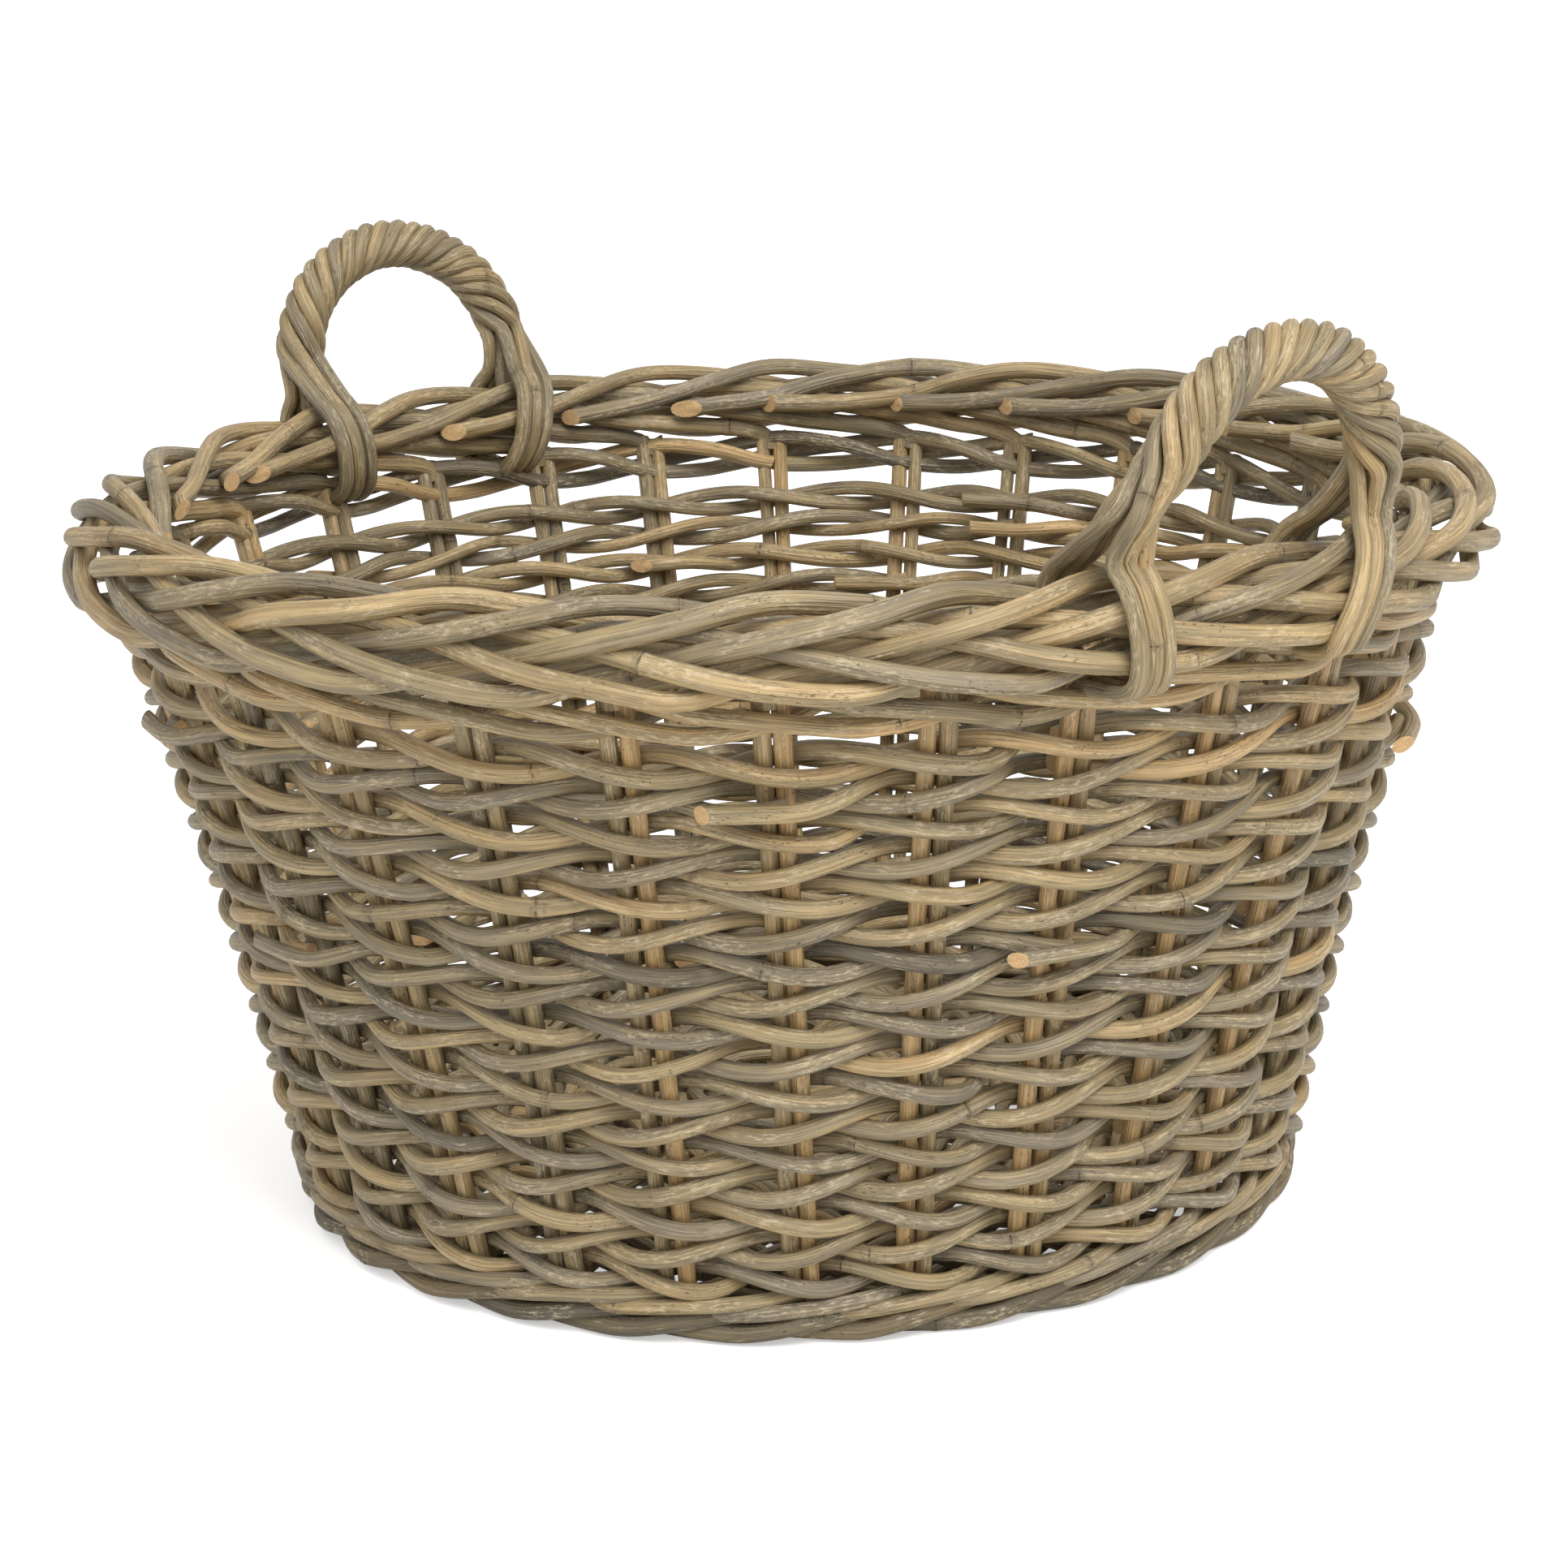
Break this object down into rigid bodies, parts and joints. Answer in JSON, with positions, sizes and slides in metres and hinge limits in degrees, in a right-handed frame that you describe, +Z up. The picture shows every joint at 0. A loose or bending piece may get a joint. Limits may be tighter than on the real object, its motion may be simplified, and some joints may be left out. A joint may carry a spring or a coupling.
{
  "type": "laundry basket",
  "caption": "Round flared laundry basket woven from rattan cane, with a rolled top border and two rope-wrapped bow handles.",
  "frame": {"origin": "centre of the foot, on the floor that the basket stands on", "axes": "+Z up along the basket's axis; +X towards the right-hand handle; +Y completes the right-handed frame"},
  "size_m": [0.656, 0.6364, 0.4231],
  "materials": {
    "weaver_cane": "satin",
    "stake_cane": "satin",
    "border_cane": "satin",
    "handle_cane": "satin",
    "foot_cane": "satin"
  },
  "bodies": {
    "root": {"foot_border_lower": "foot_cane", "foot_border_upper": "foot_cane", "base_sticks_across": "stake_cane", "base_sticks_along": "stake_cane", "base_weave_01": "weaver_cane", "base_weave_02": "weaver_cane", "base_weave_03": "weaver_cane", "base_weave_04": "weaver_cane", "base_weave_05": "weaver_cane", "base_weave_06": "weaver_cane", "base_weave_07": "weaver_cane", "base_weave_08": "weaver_cane", "base_weave_09": "weaver_cane", "base_weave_10": "weaver_cane", "bottom_wale": "weaver_cane", "main_stakes": "stake_cane", "bye_stakes": "stake_cane", "weave_row_01": "weaver_cane", "weave_row_02": "weaver_cane", "weave_row_03": "weaver_cane", "weave_row_04": "weaver_cane", "weave_row_05": "weaver_cane", "weave_row_06": "weaver_cane", "weave_row_07": "weaver_cane", "weave_row_08": "weaver_cane", "weave_row_09": "weaver_cane", "weave_row_10": "weaver_cane", "weave_row_11": "weaver_cane", "weave_row_12": "weaver_cane", "weave_row_13": "weaver_cane", "weave_row_14": "weaver_cane", "weave_row_15": "weaver_cane", "weave_row_16": "weaver_cane", "weave_row_17": "weaver_cane", "top_wale": "weaver_cane", "border_canes": "border_cane", "handle_core_left": "handle_cane", "handle_core_right": "handle_cane", "handle_wrap_left": "handle_cane", "handle_wrap_right": "handle_cane", "handle_feet_left": "handle_cane", "handle_feet_right": "handle_cane"}
  },
  "joints": []
}
